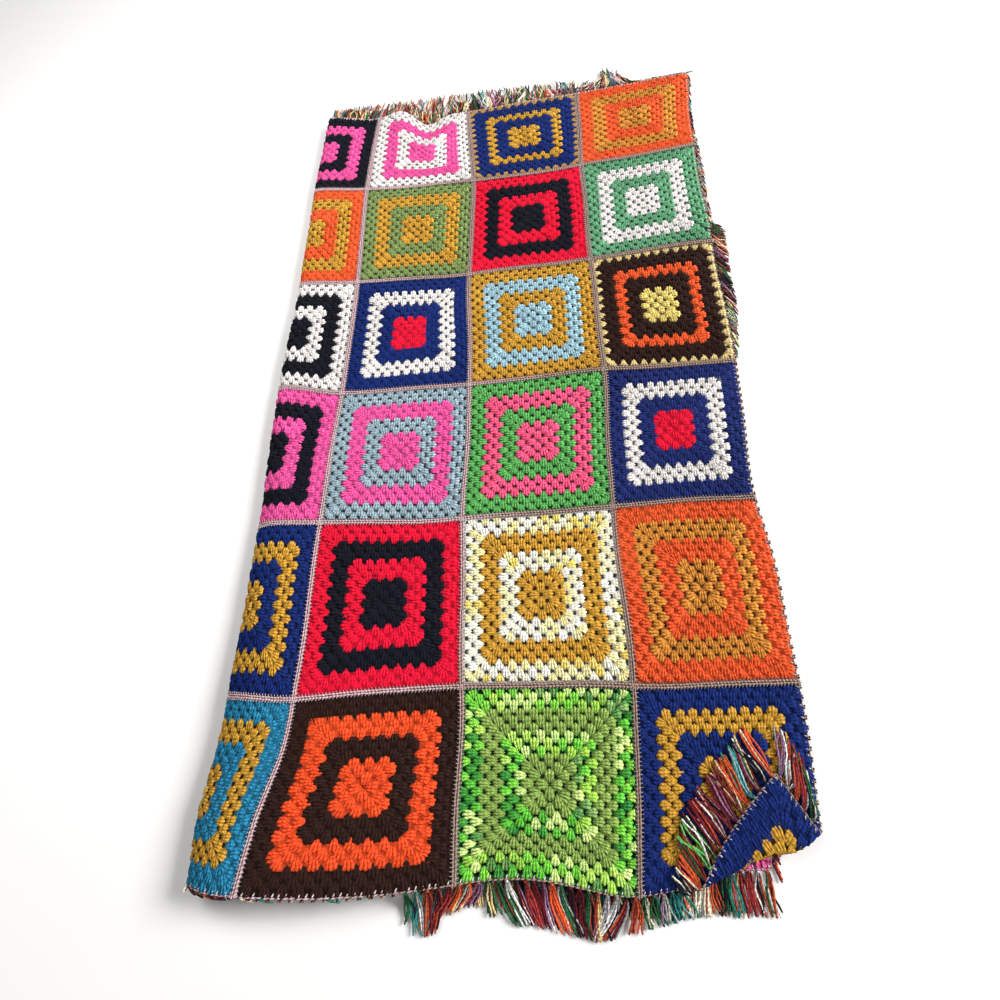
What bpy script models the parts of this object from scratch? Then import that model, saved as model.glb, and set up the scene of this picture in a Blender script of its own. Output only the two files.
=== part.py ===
"""Granny square blanket: crocheted cloth folded once along its length, with one corner turned back
over its face and a knotted fringe on all four edges.

The cloth is one solid and the fringe of each edge is one comb. Metres, +Z up. The cloth lies on Z = 0
with its fold at -X, its free edges at +X and its near end at -Y. A place on the cloth is given in
squares: u across it, from 0 at the free edge of the upper layer to 7 at that of the lower one, and
v along it, from 0 at the near end to 6 at the far one.
"""
import math

import bmesh
import bpy
import numpy as np

# Driving dimensions.
SQUARES_ACROSS = 7
SQUARES_ALONG = 6
CLOTH = 0.004             # thickness of the crocheted cloth
UPPER_Z = 0.0135          # middle of the upper layer where it lies on the lower one
BEND_TURN = math.radians(30)   # the fold's bend turns this far in a wide arc, then tightly, then widely again
FOLD_SEAM = 3             # the seam that the fold's layout is measured from
HALF_ACROSS = 4           # squares from that seam to the lower free edge
FOLD_MIDDLE = 3.5         # the upper layer ends and the lower one starts about here
RISE_FROM = 1.8           # where the upper layer starts to rise towards the fold

# One row for each seam across the blanket, from the near end (v = 0) to the far one (v = 6):
# where the fold, the seams between columns and the free edges cross it, and the fold's height.
COLUMNS = ("fold_x", "seam_3_x", "seam_2_x", "seam_1_x", "edge_x",
           "fold_y", "seam_3_y", "seam_2_y", "seam_1_y", "edge_y",
           "fold_height", "under_x", "under_y")
SEAMS = (
    (-0.475, -0.385, -0.090, 0.165, 0.400, -0.820, -0.815, -0.820, -0.825, -0.820, 0.062, 0.335, -0.790),
    (-0.460, -0.340, -0.080, 0.180, 0.415, -0.555, -0.560, -0.550, -0.555, -0.555, 0.052, 0.365, -0.530),
    (-0.455, -0.335, -0.080, 0.180, 0.405, -0.265, -0.270, -0.270, -0.265, -0.265, 0.040, 0.395, -0.260),
    (-0.460, -0.320, -0.070, 0.185, 0.425, 0.030, 0.005, 0.005, 0.010, 0.005, 0.034, 0.425, 0.010),
    (-0.450, -0.315, -0.070, 0.185, 0.425, 0.300, 0.285, 0.285, 0.285, 0.295, 0.030, 0.435, 0.285),
    (-0.450, -0.315, -0.065, 0.185, 0.435, 0.590, 0.570, 0.560, 0.565, 0.580, 0.028, 0.440, 0.560),
    (-0.440, -0.300, -0.075, 0.190, 0.450, 0.850, 0.820, 0.810, 0.815, 0.825, 0.026, 0.445, 0.820),
)
# How far in from the fold its bend begins, at each whole v: the near end is folded most loosely.
FOLD_DEPTHS = (0.080, 0.075, 0.045, 0.025, 0.018, 0.015, 0.014)

# Soft local pulls: where each is centred and how far it reaches, in squares, and its shift in metres.
SWAYS = (
    # name                 u     v     reach_u reach_v  x       y       z
    ("bent seam",          3.00, 0.72, 0.70,   0.28,    0.013,  0.000,  0.000),
    ("full fold",          3.50, 0.50, 0.80,   0.35,   -0.009,  0.000,  0.000),
    ("full free edge",     0.00, 1.65, 0.50,   0.35,    0.008,  0.000,  0.000),
    ("arched near edge",   1.60, 0.00, 0.42,   0.25,    0.000,  0.024,  0.004),
    ("pulled near corner", 0.76, 0.00, 0.22,   0.25,    0.000,  0.012,  0.000),
    ("sagging near edge",  2.75, 0.00, 0.40,   0.25,    0.000, -0.006,  0.000),
    ("rounded fold end",   3.50, 0.00, 0.22,   0.20,    0.004,  0.010,  0.000),
    ("drawn-in lower end", 4.60, 0.00, 0.70,   0.50,    0.000,  0.040,  0.000),
    ("ruffle dip",         2.44, 6.00, 0.17,   0.52,    0.000, -0.034, -0.002),
    ("ruffle crest",       2.76, 6.00, 0.16,   0.35,    0.000,  0.008,  0.011),
)

# The turned corner: its crease runs from the near edge at CREASE_U to the free edge at CREASE_V.
CREASE_U = 0.76
CREASE_V = 0.322
CREASE_RADIUS = 0.0037
CREASE_BOW = 0.010        # how far the crease bows outwards at BOW_MIDDLE, as a share of its length
BOW_MIDDLE = 0.80
BOW_WIDTH = 0.16
BOW_REACH = 0.05
TURNED_TIP = (0.359, -0.671)

# The fringe: one tooth for a bunch of knotted strands.
FRINGE = 0.002            # thickness of the comb
FRINGE_GAP = 0.0006       # between the cloth's edge and the comb
HEADING = 0.004           # width of the strip of knots that joins the teeth
TEETH_TO_CELL = 2
TOOTH_SHARE = 0.7         # of its part of the cell that a tooth fills
TUCK_RADIUS = 0.00205     # of the turn where a tooth goes back in between the layers
FALL = 0.022              # how far out a tooth has come down on what lies below
REST_ON_FLOOR = 0.0012
REST_ON_LOWER = 0.0056
REST_ON_UPPER = 0.0170

# Stretches of each edge's fringe: it ends at `until`, in squares along the edge. `reach` is how far
# out of the edge the strands go, and `lean` how far along it for that: above 0 is towards greater u
# or v. A tucked stretch lies between the layers.
NEAR_FRINGE = (
    # until reach  lean   tucked
    (0.76,  0.058, 0.00,  False),
    (1.05,  0.038, -0.20, False),
    (1.20,  0.053, 0.30,  False),
    (1.83,  0.056, -0.35, False),
    (2.00,  0.032, 0.40,  False),
    (2.25,  0.050, 0.10,  False),
    (4.20,  0.050, 0.00,  True),
    (5.40,  0.045, 0.10,  False),
    (7.00,  0.050, 0.15,  False),
)
FAR_FRINGE = (
    (0.45,  0.030, 0.10,  False),
    (0.90,  0.060, 0.00,  False),
    (3.60,  0.060, 0.00,  False),
    (7.00,  0.066, 0.00,  False),
)
UPPER_FRINGE = (
    (0.322, 0.037, -0.90, False),
    (3.20,  0.050, 0.00,  True),
    (4.25,  0.030, -0.90, False),
    (6.00,  0.050, 0.00,  True),
)
LOWER_FRINGE = (
    (0.45,  0.012, -0.50, False),
    (3.10,  0.050, 0.00,  True),
    (4.25,  0.030, -0.70, False),
    (6.00,  0.050, 0.00,  True),
)

# Facets.
CELLS = 4                 # to a square
CELLS_BY_FOLD = 6         # to the square beside the fold
WIDE_FACETS = 3           # on each wide arc of the fold's bend
TIGHT_FACETS = 7          # on its tight arc
LOWER_CELLS = 13
CREASE_FACETS = 9
TUCK_FACETS = 3


def spline(values, t):
    """A smooth curve through values at t = 0, 1, 2 ..., which runs straight on past both ends."""
    values = np.asarray(values, float)
    if values.ndim == 1:
        values = np.repeat(values[:, None], len(t), axis=1)
    last = len(values) - 1
    inside = np.clip(t, 0, last)
    start = np.minimum(inside.astype(int), last - 1)
    part = inside - start
    ends = np.concatenate([[2 * values[0] - values[1]], values, [2 * values[-1] - values[-2]]])
    each = np.arange(len(t))
    before, here, there, after = (ends[start + step, each] for step in range(4))
    leaving = (there - before) / 2
    arriving = (after - here) / 2
    curve = (here + part * leaving
             + part ** 2 * (3 * (there - here) - 2 * leaving - arriving)
             + part ** 3 * (2 * (here - there) + leaving + arriving))
    past_start = np.minimum(t, 0) * (values[1] - values[0])
    past_end = np.maximum(t - last, 0) * (values[-1] - values[-2])
    return curve + past_start + past_end


def smooth(start, end, t):
    """0 before start, 1 after end and an S-shaped rise between."""
    share = np.clip((t - start) / (end - start), 0, 1)
    return share * share * (3 - 2 * share)


def seam_values(v):
    """Each column of the seam table at the distances v along the blanket."""
    table = np.array(SEAMS)
    values = {name: spline(table[:, i], v) for i, name in enumerate(COLUMNS)}
    values["fold_depth"] = spline(FOLD_DEPTHS, v)
    return values


def fold_layout(seam):
    """The fold's half height, its bend's arcs as (radius, turn), and the cloth before and after the bend."""
    half = (seam["fold_height"] - CLOTH) / 2
    depth = seam["fold_depth"]
    sine, cosine = math.sin(BEND_TURN), math.cos(BEND_TURN)
    wide = (depth * cosine - half * (1 - sine)) / (sine + cosine - 1)
    tight = (half * sine - depth * (1 - cosine)) / (sine + cosine - 1)
    arcs = ((wide, BEND_TURN), (tight, math.pi - 2 * BEND_TURN), (wide, BEND_TURN))
    bend_x = seam["fold_x"] + depth
    return half, arcs, seam["seam_3_x"] - bend_x, seam["under_x"] - bend_x


def bend_length(arcs):
    """The length of cloth round the fold's bend."""
    return sum(radius * turn for radius, turn in arcs)


def round_bend(arcs, run):
    """How far out and how far down the cloth is after each length round the fold's bend."""
    out, down, start = 0, 0, 0.0
    for radius, turn in arcs:
        angle = start + np.clip(run / radius, 0, turn)
        out = out + radius * (np.sin(angle) - math.sin(start))
        down = down + radius * (math.cos(start) - np.cos(angle))
        run = run - radius * turn
        start += turn
    return out, down


def laid(u, v):
    """Middle of the cloth at (u, v) as it lies before its corner is turned, an array of points."""
    u = np.asarray(u, float)
    v = np.asarray(v, float)
    seam = seam_values(v)
    half, arcs, before, after = fold_layout(seam)
    bend = bend_length(arcs)
    whole = before + bend + after
    run = (u - FOLD_SEAM) / HALF_ACROSS * whole
    crown_u = FOLD_SEAM + HALF_ACROSS * before / whole
    crown_z = CLOTH / 2 + 2 * half
    flat_u = np.minimum(u, FOLD_SEAM)
    beyond_x = seam["seam_3_x"] - whole / HALF_ACROSS
    x = spline([seam["edge_x"], seam["seam_1_x"], seam["seam_2_x"], seam["seam_3_x"], beyond_x], flat_u)
    y = spline([seam["edge_y"], seam["seam_1_y"], seam["seam_2_y"], seam["seam_3_y"], seam["fold_y"]], flat_u)
    z = UPPER_Z + (crown_z - UPPER_Z) * smooth(RISE_FROM, crown_u, u)
    out, down = round_bend(arcs, run - before)
    past_bend = np.maximum(run - before - bend, 0)
    folded = u > FOLD_SEAM
    x = np.where(folded, seam["seam_3_x"] - np.minimum(run, before) - out + past_bend, x)
    z = np.where(run > before, crown_z - down, z)
    to_fold = smooth(0, 1, run / (before + bend / 2))
    from_fold = np.maximum(run - before - bend / 2, 0) / (after + bend / 2)
    folded_y = seam["seam_3_y"] + (seam["fold_y"] - seam["seam_3_y"]) * to_fold
    folded_y = folded_y + (seam["under_y"] - seam["fold_y"]) * from_fold
    y = np.where(folded, folded_y, y)
    points = np.stack([x, y, z], axis=1)
    for _, centre_u, centre_v, reach_u, reach_v, *shift in SWAYS:
        weight = np.exp(-((u - centre_u) / reach_u) ** 2 - ((v - centre_v) / reach_v) ** 2)
        points += weight[:, None] * np.array(shift)
    return points


def crease():
    """The crease's start, its direction, the direction from it to the corner, and its length."""
    near, side = laid([CREASE_U, 0], [0, CREASE_V])[:, :2]
    length = np.linalg.norm(side - near)
    along = (side - near) / length
    return near, along, np.array([along[1], -along[0]]), length


def past_crease(points):
    """How far points lie beyond the crease, towards the corner."""
    near, _, outward, _ = crease()
    return (points[:, :2] - near) @ outward


def turned(points):
    """Points of the upper layer with the corner turned back over it along the crease."""
    near, along, outward, length = crease()
    corner = laid([0], [0])[0, :2]
    bend = math.pi * CREASE_RADIUS
    foot = near + along * ((corner - near) @ along)
    back = (np.array(TURNED_TIP) - foot) / ((corner - near) @ outward - bend)
    past = past_crease(points)
    share = np.clip((points[:, :2] - near) @ along / length, 0, 1)
    angle = np.clip(past, 0, bend) / CREASE_RADIUS
    shift = np.where(past > 0, CREASE_RADIUS * np.sin(angle) - past, 0)
    bow = np.exp(-((share - BOW_MIDDLE) / BOW_WIDTH) ** 2 - (past / BOW_REACH) ** 2)
    shift += CREASE_BOW * bow
    result = points.copy()
    result[:, :2] += shift[:, None] * outward + np.maximum(past - bend, 0)[:, None] * back
    result[:, 2] += CREASE_RADIUS * (1 - np.cos(angle))
    return result


def section(v):
    """Places across the blanket at the distance v, closer together round the fold."""
    _, arcs, before, after = fold_layout(seam_values(np.array([v])))
    per_metre = HALF_ACROSS / (before + bend_length(arcs) + after)[0]
    crown = FOLD_SEAM + before[0] * per_metre
    wide, tight = (radius[0] * turn * per_metre for radius, turn in arcs[:2])
    bend_end = crown + 2 * wide + tight
    open_part = np.arange(0, FOLD_SEAM - 1, 1 / CELLS)
    by_fold = np.arange(FOLD_SEAM - 1, FOLD_SEAM, 1 / CELLS_BY_FOLD)
    to_crown = [FOLD_SEAM, (FOLD_SEAM + crown) / 2]
    outward = np.linspace(crown, crown + wide, WIDE_FACETS + 1)[:-1]
    round_edge = np.linspace(crown + wide, crown + wide + tight, TIGHT_FACETS + 1)[:-1]
    inward = np.linspace(bend_end - wide, bend_end, WIDE_FACETS + 1)
    lower = np.linspace(bend_end, SQUARES_ACROSS, LOWER_CELLS + 1)[1:]
    return np.concatenate([open_part, by_fold, to_crown, outward, round_edge, inward, lower])


def by_bend(cell):
    """Whether a cell of a section lies on the fold's bend or between it and the seam."""
    first = (FOLD_SEAM - 1) * CELLS + CELLS_BY_FOLD
    return first <= cell < first + 2 + 2 * WIDE_FACETS + TIGHT_FACETS


def new_object(name, sheet, thickness, colour, roughness):
    """An object of a sheet, thickened evenly to both sides."""
    bmesh.ops.recalc_face_normals(sheet, faces=sheet.faces)
    mesh = bpy.data.meshes.new(name)
    sheet.to_mesh(mesh)
    sheet.free()
    item = bpy.data.objects.new(name, mesh)
    bpy.context.scene.collection.objects.link(item)
    wall = item.modifiers.new("thickness", "SOLIDIFY")
    wall.thickness = thickness
    wall.offset = 0
    wall.use_even_offset = True
    material = bpy.data.materials.new(name)
    material.use_nodes = True
    shader = material.node_tree.nodes["Principled BSDF"]
    shader.inputs["Base Color"].default_value = (*colour, 1)
    shader.inputs["Roughness"].default_value = roughness
    shader.inputs["Metallic"].default_value = 0
    mesh.materials.append(material)


def turn_corner(sheet):
    """Cuts the upper layer's faces along each facet of the crease, then turns its corner back."""
    mark = sheet.faces.layers.int["upper"]
    near, _, outward, _ = crease()
    for past in np.linspace(0, math.pi * CREASE_RADIUS, CREASE_FACETS + 1):
        start = near + outward * past
        faces = [face for face in sheet.faces if face[mark]]
        parts = {part for face in faces for part in (face, *face.edges, *face.verts)}
        bmesh.ops.bisect_plane(sheet, geom=list(parts), plane_co=(*start, 0), plane_no=(*outward, 0))
    points = [point for point in sheet.verts if any(face[mark] for face in point.link_faces)]
    places = turned(np.array([point.co for point in points]).reshape(-1, 3))
    for point, place in zip(points, places):
        point.co = place


def blanket():
    """The cloth: a sheet on a grid, folded, with its near corner turned back."""
    sheet = bmesh.new()
    mark = sheet.faces.layers.int.new("upper")
    grid = []
    for v in np.linspace(0, SQUARES_ALONG, SQUARES_ALONG * CELLS + 1):
        across = section(v)
        grid.append([sheet.verts.new(point) for point in laid(across, np.full(len(across), v))])
    for row, next_row in zip(grid, grid[1:]):
        for i in range(len(row) - 1):
            face = sheet.faces.new((row[i], next_row[i], next_row[i + 1], row[i + 1]))
            face[mark] = i < (FOLD_SEAM - 1) * CELLS
    turn_corner(sheet)
    new_object("blanket", sheet, CLOTH, (0.50, 0.20, 0.16), 0.9)


class Edge:
    """One edge of the cloth: v is fixed along the two ends, and u along the two sides."""

    def __init__(self, fixed, at, outward):
        self.fixed = fixed
        self.at = at
        self.outward = outward

    def places(self, stations):
        """u and v at places along the edge."""
        steady = np.full(len(stations), float(self.at))
        return (stations, steady) if self.fixed == "v" else (steady, stations)

    def cells(self):
        """Where the cells of the cloth's grid begin and end along the edge."""
        if self.fixed == "v":
            return section(self.at)
        return np.linspace(0, SQUARES_ALONG, SQUARES_ALONG * CELLS + 1)

    def bears_tooth(self, cell):
        """Whether there is room for a tooth: the short cells by the fold's bend have none."""
        return self.fixed == "u" or not by_bend(cell)

    def frames(self, stations):
        """At each station the edge's point, the way out of it and the way in between the layers."""
        reach = 0.03
        u, v = self.places(stations)
        out_u, out_v = self.outward
        here = laid(u, v)
        out = here - laid(u - out_u * reach, v - out_v * reach)
        run = laid(u - out_v * reach, v + out_u * reach) - laid(u + out_v * reach, v - out_u * reach)
        out /= np.linalg.norm(out, axis=1)[:, None]
        inward = np.cross(out, run)
        return here, out, inward / np.linalg.norm(inward, axis=1)[:, None]


def tooth_path(reach, tucked):
    """Steps of a tooth past its heading: how far out of the edge, and how far in between the layers."""
    if not tucked:
        return [(FALL, 0), (max(reach, FALL + HEADING), 0)]
    angles = np.linspace(0, math.pi, TUCK_FACETS + 1)[1:]
    path = [(HEADING + TUCK_RADIUS * math.sin(a), TUCK_RADIUS * (1 - math.cos(a))) for a in angles]
    return path + [(HEADING - reach, 2 * TUCK_RADIUS)]


def add_tooth(comb, frames, stretch, rest, on_flap):
    """One tooth, swept out from its two root points, which it returns. It comes down to rest."""
    _, reach, lean, tucked = stretch
    here, out, inward = frames
    aside = (here[1] - here[0]) / np.linalg.norm(here[1] - here[0]) * lean
    root = [comb.verts.new(point) for point in here + out * HEADING]
    last = root
    for far, deep in tooth_path(reach, tucked):
        points = here + out * far + inward * deep + aside * far
        if on_flap:
            points = turned(points)
        if not tucked:
            points[:, 2] = np.minimum(points[:, 2], rest)
        row = [comb.verts.new(point) for point in points]
        comb.faces.new((last[0], last[1], row[1], row[0]))
        last = row
    return root


def tooth_sides():
    """For each tooth of a cell, how its two sides are mixed from the cell's start and end."""
    margin = (1 - TOOTH_SHARE) / 2
    for tooth in range(TEETH_TO_CELL):
        start, end = (tooth + margin) / TEETH_TO_CELL, (tooth + 1 - margin) / TEETH_TO_CELL
        yield np.array([[1 - start, start], [1 - end, end]])


def fringe(name, edge, stretches, colour):
    """The fringe of one edge: a comb of a narrow heading with teeth for its bunches of strands."""
    comb = bmesh.new()
    mark = comb.faces.layers.int.new("upper")
    cells = edge.cells()
    here, out, inward = edge.frames(cells)
    past = past_crease(here)
    inner = [comb.verts.new(point) for point in here + out * FRINGE_GAP]
    outer = [comb.verts.new(point) for point in here + out * HEADING]
    for i in range(len(cells) - 1):
        ends = slice(i, i + 2)
        upper = bool(edge.places(cells[ends])[0].mean() < FOLD_MIDDLE)
        roots = []
        for sides in tooth_sides():
            root_past = sides @ past[ends]
            bent = upper and root_past.max() > 0 and root_past.min() < math.pi * CREASE_RADIUS
            if bent or not edge.bears_tooth(i):
                continue
            on_flap = upper and root_past.min() > 0
            rest = REST_ON_UPPER if on_flap else REST_ON_LOWER if upper else REST_ON_FLOOR
            stretch = next(row for row in stretches if (sides @ cells[ends]).mean() < row[0])
            frames = [sides @ values[ends] for values in (here, out, inward)]
            roots += add_tooth(comb, frames, stretch, rest, on_flap)
        face = comb.faces.new((inner[i], inner[i + 1], outer[i + 1], *reversed(roots), outer[i]))
        face[mark] = upper
    turn_corner(comb)
    new_object(name, comb, FRINGE, colour, 0.85)


def main():
    for old in list(bpy.data.objects):
        bpy.data.objects.remove(old)
    blanket()
    fringe("fringe_near", Edge("v", 0, (0, -1)), NEAR_FRINGE, (0.30, 0.03, 0.03))
    fringe("fringe_far", Edge("v", SQUARES_ALONG, (0, 1)), FAR_FRINGE, (0.55, 0.20, 0.06))
    fringe("fringe_upper_side", Edge("u", 0, (-1, 0)), UPPER_FRINGE, (0.08, 0.16, 0.09))
    fringe("fringe_lower_side", Edge("u", SQUARES_ACROSS, (1, 0)), LOWER_FRINGE, (0.45, 0.38, 0.28))


main()
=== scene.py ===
"""A crocheted granny square blanket, folded once down its length, with one corner turned back.

Every stitch is a yarn bead placed in the blanket's own measure: u counts squares across, from the
upper layer's free edge, round the fold and out along the lower layer. v counts squares from the
near end to the far end. h is the height over the middle of the cloth, on its right side.
"""

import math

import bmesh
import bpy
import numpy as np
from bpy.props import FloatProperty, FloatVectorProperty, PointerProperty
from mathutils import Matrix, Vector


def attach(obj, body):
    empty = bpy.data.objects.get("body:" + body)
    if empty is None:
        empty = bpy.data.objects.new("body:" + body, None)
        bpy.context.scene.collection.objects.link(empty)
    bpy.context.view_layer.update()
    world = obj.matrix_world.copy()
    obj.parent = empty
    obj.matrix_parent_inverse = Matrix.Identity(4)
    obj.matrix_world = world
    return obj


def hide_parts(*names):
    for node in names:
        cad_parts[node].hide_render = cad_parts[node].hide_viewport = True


bl_info = {
    "name": "Granny Square Blanket",
    "version": (1, 0, 0),
    "blender": (4, 5, 0),
    "location": "View3D > Sidebar > Blanket",
    "description": "A fringed blanket of crocheted granny squares, folded once, one corner turned back",
    "category": "Add Mesh",
}

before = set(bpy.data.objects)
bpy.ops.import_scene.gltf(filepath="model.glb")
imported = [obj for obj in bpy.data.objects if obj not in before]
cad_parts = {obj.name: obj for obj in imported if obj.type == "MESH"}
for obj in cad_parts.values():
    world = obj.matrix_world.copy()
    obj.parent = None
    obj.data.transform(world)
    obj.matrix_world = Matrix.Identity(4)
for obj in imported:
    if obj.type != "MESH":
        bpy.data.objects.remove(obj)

# ---------------------------------------------------------------- the cloth as it is folded

SQUARES_ACROSS = 7
SQUARES_ALONG = 6
SQUARE = 0.25             # one square with its half of the joining, laid out flat
CLOTH = 0.004             # thickness of the crocheted cloth
UPPER_Z = 0.0135          # middle of the upper layer where it lies on the lower one
BEND_TURN = math.radians(30)   # the fold bends this far in a wide arc, then tightly, then widely again
FOLD_SEAM = 3             # the seam that the fold's layout is measured from
HALF_ACROSS = 4           # squares from that seam to the lower free edge
FOLD_MIDDLE = 3.5         # the upper layer ends and the lower one starts about here
RISE_FROM = 1.8           # where the upper layer starts to rise towards the fold

COLUMNS = (
    "fold_x", "seam_3_x", "seam_2_x", "seam_1_x", "edge_x",
    "fold_y", "seam_3_y", "seam_2_y", "seam_1_y", "edge_y",
    "fold_height", "under_x", "under_y",
)
# Where the seams lie at each whole v, from the near end, in metres.
SEAMS = (
    (-0.475, -0.385, -0.090, 0.165, 0.400, -0.820, -0.815, -0.820, -0.825, -0.820, 0.062, 0.335, -0.790),
    (-0.460, -0.340, -0.080, 0.180, 0.415, -0.555, -0.560, -0.550, -0.555, -0.555, 0.052, 0.365, -0.530),
    (-0.455, -0.335, -0.080, 0.180, 0.405, -0.265, -0.270, -0.270, -0.265, -0.265, 0.040, 0.395, -0.260),
    (-0.460, -0.320, -0.070, 0.185, 0.425, 0.030, 0.005, 0.005, 0.010, 0.005, 0.034, 0.425, 0.010),
    (-0.450, -0.315, -0.070, 0.185, 0.425, 0.300, 0.285, 0.285, 0.285, 0.295, 0.030, 0.435, 0.285),
    (-0.450, -0.315, -0.065, 0.185, 0.435, 0.590, 0.570, 0.560, 0.565, 0.580, 0.028, 0.440, 0.560),
    (-0.440, -0.300, -0.075, 0.190, 0.450, 0.850, 0.820, 0.810, 0.815, 0.825, 0.026, 0.445, 0.820),
)
# How far in from the fold its bend begins, at each whole v: the near end is folded most loosely.
FOLD_DEPTHS = (0.080, 0.075, 0.045, 0.025, 0.018, 0.015, 0.014)
# Soft local pulls: centre and reach in squares, and the shift in metres.
SWAYS = (
    # name                 u     v     reach_u reach_v  x       y       z
    ("bent seam",          3.00, 0.72, 0.70,   0.28,    0.013,  0.000,  0.000),
    ("full fold",          3.50, 0.50, 0.80,   0.35,   -0.009,  0.000,  0.000),
    ("full free edge",     0.00, 1.65, 0.50,   0.35,    0.008,  0.000,  0.000),
    ("arched near edge",   1.60, 0.00, 0.42,   0.25,    0.000,  0.024,  0.004),
    ("pulled near corner", 0.76, 0.00, 0.22,   0.25,    0.000,  0.012,  0.000),
    ("sagging near edge",  2.75, 0.00, 0.40,   0.25,    0.000, -0.006,  0.000),
    ("rounded fold end",   3.50, 0.00, 0.22,   0.20,    0.004,  0.010,  0.000),
    ("drawn-in lower end", 4.60, 0.00, 0.70,   0.50,    0.000,  0.040,  0.000),
    ("ruffle dip",         2.44, 6.00, 0.17,   0.52,    0.000, -0.034, -0.002),
    ("ruffle crest",       2.76, 6.00, 0.16,   0.35,    0.000,  0.008,  0.011),
)
# The near free corner is turned back along a crease, from the near edge at u to the free side at v.
CREASE_U = 0.76
CREASE_V = 0.322
CREASE_RADIUS = 0.0037
CREASE_FACETS = 9
TURNED_TIP = (0.359, -0.671)   # where the corner comes to lie
# The crease bows outwards by CREASE_BOW, at and about these shares of its length, and this far past it.
CREASE_BOW = 0.010
BOW_MIDDLE = 0.80
BOW_WIDTH = 0.16
BOW_REACH = 0.05
UPPER_SQUARES = 2         # columns from the free edge that the crease and its bow can shift

# Slow unevenness of hand work: cycles per square across and along, phase, and how strong.
WANDERS = (
    # across along phase across_shift along_shift lift
    (0.31,   0.43, 0.4,  0.0060,      0.0050,     0.00045),
    (0.83,   0.57, 2.1,  0.0035,      0.0045,     0.00040),
    (0.52,   1.21, 4.4,  0.0030,      0.0020,     0.00035),
    (1.37,   1.09, 1.3,  0.0018,      0.0022,     0.00025),
)
WANDER_APART = 1.7        # phase between one direction's waves and the next's
STEP = 0.006              # in squares, for the surface's slopes
# The lower layer is pressed flatter by this share and lies lower, from this far round the fold.
UNDER_FLATTER = 0.2
UNDER_LOWER = 0.0006
UNDER_FULL = 0.7


def spline(values, t):
    """A smooth curve through values at t = 0, 1, 2 ..., which runs straight on past both ends."""
    values = np.asarray(values, float)
    if values.ndim == 1:
        values = np.repeat(values[:, None], len(t), axis=1)
    last = len(values) - 1
    inside = np.clip(t, 0, last)
    start = np.minimum(inside.astype(int), last - 1)
    part = inside - start
    ends = np.concatenate([[2 * values[0] - values[1]], values, [2 * values[-1] - values[-2]]])
    each = np.arange(len(t))
    before, here, there, after = (ends[start + step, each] for step in range(4))
    leaving = (there - before) / 2
    arriving = (after - here) / 2
    curve = (here + part * leaving
             + part ** 2 * (3 * (there - here) - 2 * leaving - arriving)
             + part ** 3 * (2 * (here - there) + leaving + arriving))
    past_start = np.minimum(t, 0) * (values[1] - values[0])
    past_end = np.maximum(t - last, 0) * (values[-1] - values[-2])
    return curve + past_start + past_end


def smooth(start, end, t):
    """0 before start, 1 after end and an S-shaped rise between."""
    share = np.clip((t - start) / (end - start), 0, 1)
    return share * share * (3 - 2 * share)


def seam_values(v):
    """Each column of the seam table at the distances v along the blanket."""
    table = np.array(SEAMS)
    values = {name: spline(table[:, i], v) for i, name in enumerate(COLUMNS)}
    values["fold_depth"] = spline(FOLD_DEPTHS, v)
    return values


def fold_layout(seam):
    """The fold's half height, its arcs as (radius, turn), and the cloth before and after the bend."""
    half = (seam["fold_height"] - CLOTH) / 2
    painted_shading = seam["fold_depth"]
    sine, cosine = math.sin(BEND_TURN), math.cos(BEND_TURN)
    wide = (painted_shading * cosine - half * (1 - sine)) / (sine + cosine - 1)
    tight = (half * sine - painted_shading * (1 - cosine)) / (sine + cosine - 1)
    arcs = ((wide, BEND_TURN), (tight, math.pi - 2 * BEND_TURN), (wide, BEND_TURN))
    bend_x = seam["fold_x"] + painted_shading
    return half, arcs, seam["seam_3_x"] - bend_x, seam["under_x"] - bend_x


def round_bend(arcs, run):
    """How far out and how far down the cloth is after each length round the fold's bend."""
    out, down, start = 0, 0, 0.0
    for radius, turn in arcs:
        angle = start + np.clip(run / radius, 0, turn)
        out = out + radius * (np.sin(angle) - math.sin(start))
        down = down + radius * (math.cos(start) - np.cos(angle))
        run = run - radius * turn
        start += turn
    return out, down


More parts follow.
